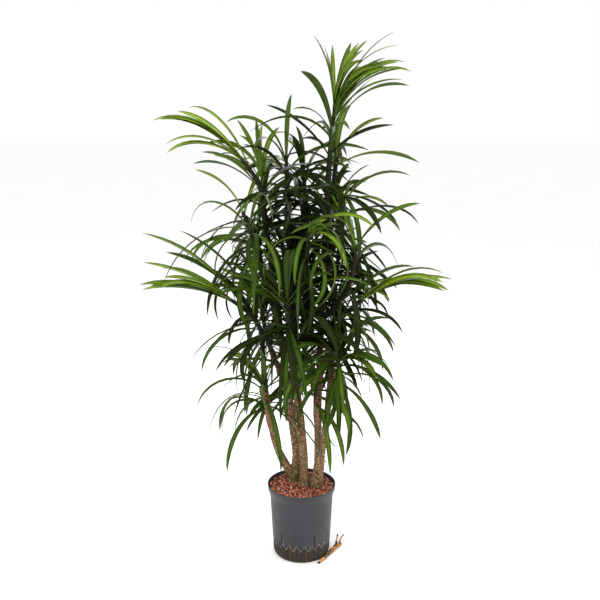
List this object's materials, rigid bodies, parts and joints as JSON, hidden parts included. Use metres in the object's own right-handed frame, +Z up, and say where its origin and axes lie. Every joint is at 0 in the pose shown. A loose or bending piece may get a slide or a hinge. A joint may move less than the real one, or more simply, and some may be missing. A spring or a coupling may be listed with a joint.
{
  "type": "potted dragon tree",
  "caption": "Dragon tree in a tapered dark culture pot filled with clay granules: slender bare canes, side boughs, and tufts of long narrow arching green leaves.",
  "frame": {"origin": "centre of the pot's flat underside", "axes": "+Z up, +X to the right and +Y to the back as seen from the front of the picture"},
  "size_m": [0.7653, 0.6203, 1.3084],
  "materials": {
    "pot": "matt anthracite",
    "granules": "unglazed fired clay",
    "bark": "bark with leaf scars",
    "root": "dry root",
    "leaf": "satin green leaf"
  },
  "bodies": {
    "root": {"pot": "pot", "granules": "granules", "stray_root": "root", "left_cane": "bark", "left_low_cane": "bark", "middle_cane": "bark", "right_cane": "bark", "right_tall_cane": "bark", "crown_right_leaves": "leaf", "crown_left_leaves": "leaf", "upper_left_inner_leaves": "leaf", "left_low_leaves": "leaf", "right_low_leaves": "leaf", "crown_second_bough": "bark", "crown_second_leaves": "leaf", "upper_left_bough": "bark", "upper_left_leaves": "leaf", "left_mid_bough": "bark", "left_mid_leaves": "leaf", "front_mid_bough": "bark", "front_mid_leaves": "leaf", "right_upper_bough": "bark", "right_upper_leaves": "leaf", "right_mid_bough": "bark", "right_mid_leaves": "leaf", "left_skirt_bough": "bark", "left_skirt_leaves": "leaf", "right_skirt_bough": "bark", "right_skirt_leaves": "leaf", "front_skirt_bough": "bark", "front_skirt_leaves": "leaf", "centre_skirt_bough": "bark", "centre_skirt_leaves": "leaf", "front_low_bough": "bark", "front_low_leaves": "leaf", "back_top_bough": "bark", "back_top_leaves": "leaf", "back_right_bough": "bark", "back_right_leaves": "leaf", "back_left_bough": "bark", "back_left_leaves": "leaf", "back_mid_bough": "bark", "back_mid_leaves": "leaf", "left_back_low_bough": "bark", "left_back_low_leaves": "leaf", "right_back_low_bough": "bark", "right_back_low_leaves": "leaf", "back_skirt_bough": "bark", "back_skirt_leaves": "leaf"}
  },
  "joints": []
}
